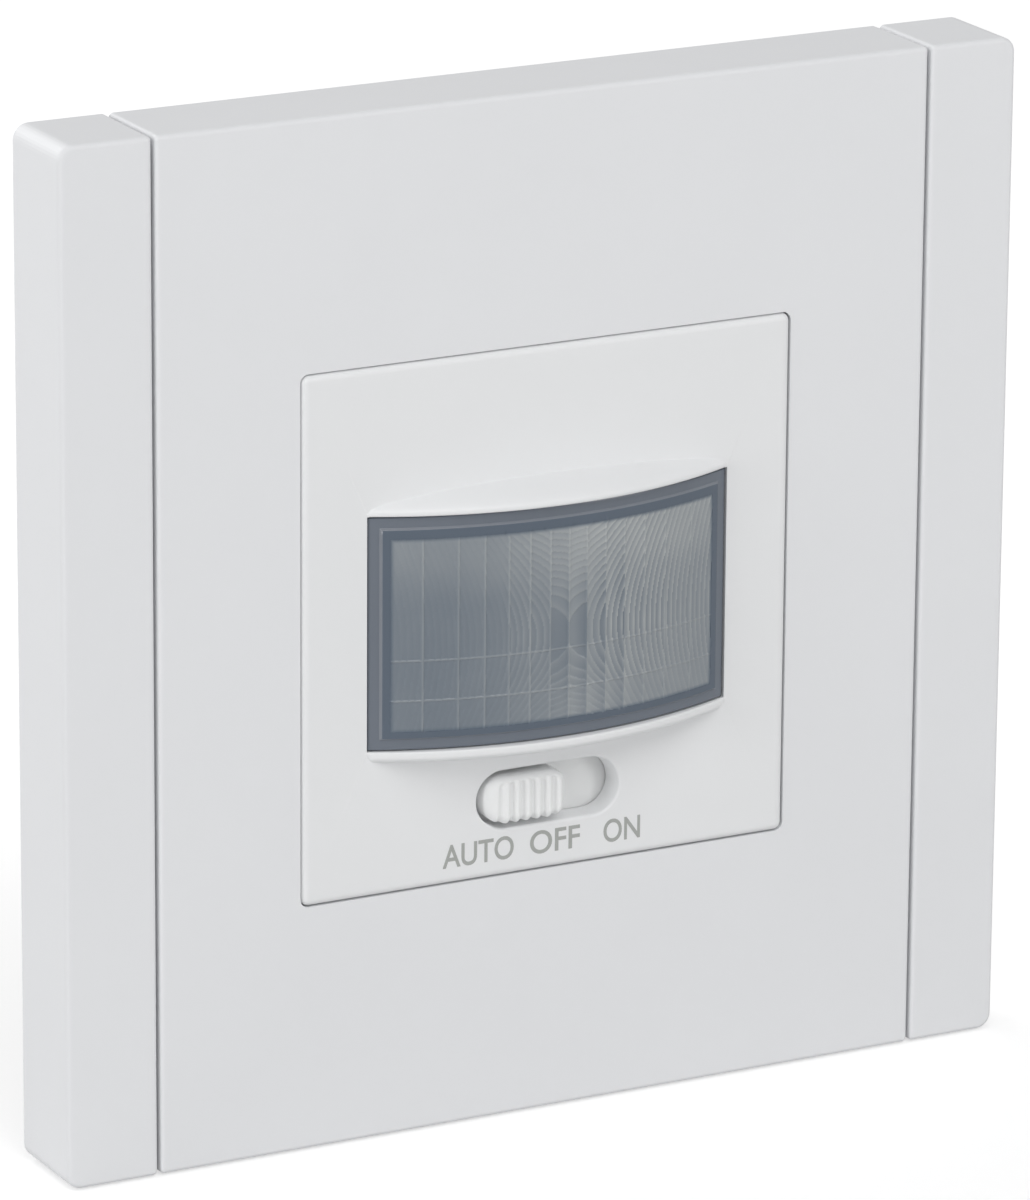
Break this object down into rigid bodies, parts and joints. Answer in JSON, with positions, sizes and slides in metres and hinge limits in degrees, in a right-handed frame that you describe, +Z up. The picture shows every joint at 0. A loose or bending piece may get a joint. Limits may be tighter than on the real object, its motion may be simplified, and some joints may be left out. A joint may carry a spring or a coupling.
{
  "type": "motion sensor light switch",
  "caption": "Square flush wall switch with a bulging infrared motion lens, a three-way slider, a clip-on frame and a mechanism on a steel bridge for a round wall box.",
  "frame": {"origin": "centre of the box-screw pattern, on the wall's surface at the back of the bridge", "axes": "+X right as seen from the room, +Y into the wall, +Z up"},
  "size_m": [0.086, 0.0441, 0.086],
  "materials": {
    "frame_plastic": "satin moulded white",
    "cover_plastic": "satin moulded white",
    "lens_plastic": "grey translucent, faceted",
    "slider_plastic": "satin moulded white",
    "chassis_plastic": "matt moulded light grey",
    "carrier_plastic": "matt moulded grey",
    "housing_plastic": "matt moulded black",
    "bridge_steel": "zinc-plated sheet",
    "claw_steel": "yellow zinc-plated sheet",
    "screw_steel": "zinc-plated",
    "brass": "plain brass",
    "tin": "tin-plated",
    "board": "green solder mask",
    "window_filter": "dark infrared filter",
    "cell_plastic": "clear amber resin",
    "phenolic": "brown laminate",
    "trimmer_blue": "matt blue",
    "dial_ivory": "matt ivory",
    "chip_black": "matt black resin",
    "relay_case_blue": "satin blue",
    "bobbin_plastic": "natural nylon",
    "winding_copper": "enamelled copper wire",
    "film_yellow": "matt yellow box",
    "can_sleeve": "shrink sleeve",
    "varistor_blue": "dipped lacquer",
    "resistor_blue": "lacquer",
    "terminal_plastic": "matt light grey"
  },
  "bodies": {
    "switch_body": {"frame_panel": "frame_plastic", "frame_strip_left": "frame_plastic", "frame_strip_right": "frame_plastic", "frame_carrier": "carrier_plastic", "cover_plate": "cover_plastic", "fresnel_lens": "lens_plastic", "lens_retainer": "carrier_plastic", "head_chassis": "chassis_plastic", "bridge_plate": "bridge_steel", "rear_housing": "housing_plastic", "housing_screws": "screw_steel", "sensor_board": "board", "pir_can": "tin", "pir_window": "window_filter", "pir_base": "tin", "pir_spacer": "chip_black", "light_sensor": "cell_plastic", "switch_case": "tin", "switch_base": "phenolic", "switch_pins": "brass", "lux_trimmer": "trimmer_blue", "time_trimmer": "trimmer_blue", "controller_chip": "chip_black", "chip_leads": "tin", "sensor_leads": "tin", "board_header": "brass", "power_board": "board", "board_screws": "screw_steel", "power_leads": "tin", "relay_base": "chip_black", "relay_case": "relay_case_blue", "relay_bobbin": "bobbin_plastic", "relay_winding": "winding_copper", "relay_yoke": "screw_steel", "relay_contact": "brass", "film_capacitor": "film_yellow", "electrolytic_capacitors": "can_sleeve", "varistor": "varistor_blue", "fuse_resistor": "resistor_blue", "rectifier_diodes": "chip_black", "terminal_block": "terminal_plastic", "terminal_clamps": "brass", "terminal_screws": "screw_steel", "claw_pins": "screw_steel"},
    "mode_slider": {"mode_slider": "slider_plastic", "switch_lever": "chip_black", "switch_wiper": "brass"},
    "lux_dial": {"lux_dial": "dial_ivory"},
    "time_dial": {"time_dial": "dial_ivory"},
    "relay_armature": {"relay_armature": "screw_steel"},
    "claw_left": {"claw_left": "claw_steel"},
    "claw_right": {"claw_right": "claw_steel"},
    "claw_screw_left": {"claw_screw_left": "screw_steel"},
    "claw_screw_right": {"claw_screw_right": "screw_steel"}
  },
  "joints": [
    {"name": "mode_slide", "type": "slide", "parent": "switch_body", "child": "mode_slider", "axis": [1, 0, 0], "range_m": [0, 0.004]},
    {"name": "lux_turn", "type": "hinge", "parent": "switch_body", "child": "lux_dial", "pos_m": [-0.0076, 0, 0.0132], "axis": [0, 1, 0], "range_deg": [-105, 105]},
    {"name": "time_turn", "type": "hinge", "parent": "switch_body", "child": "time_dial", "pos_m": [0.0076, 0, 0.0132], "axis": [0, 1, 0], "range_deg": [-105, 105]},
    {"name": "relay_pull", "type": "hinge", "parent": "switch_body", "child": "relay_armature", "pos_m": [-0.0116, 0.0084, 0.0061], "axis": [0, 0, 1], "range_deg": [0, 4.5], "stiffness_Nm_per_rad": 0.005, "springref_deg": -5.73},
    {"name": "claw_screw_left_turn", "type": "hinge", "parent": "switch_body", "child": "claw_screw_left", "pos_m": [-0.0251, 0, 0.007], "axis": [0, 1, 0], "range_deg": [0, 1080]},
    {"name": "claw_left_swing", "type": "hinge", "parent": "switch_body", "child": "claw_left", "pos_m": [-0.0219, 0.0048, 0.007], "axis": [0, 0, 1], "range_deg": [0, 25]},
    {"name": "claw_screw_right_turn", "type": "hinge", "parent": "switch_body", "child": "claw_screw_right", "pos_m": [0.0251, 0, -0.007], "axis": [0, 1, 0], "range_deg": [0, 1080]},
    {"name": "claw_right_swing", "type": "hinge", "parent": "switch_body", "child": "claw_right", "pos_m": [0.0219, 0.0048, -0.007], "axis": [0, 0, -1], "range_deg": [0, 25]}
  ],
  "couplings": [
    {"joint": "claw_left_swing", "follows": "claw_screw_left_turn", "ratio": 0.023148},
    {"joint": "claw_right_swing", "follows": "claw_screw_right_turn", "ratio": 0.023148}
  ]
}
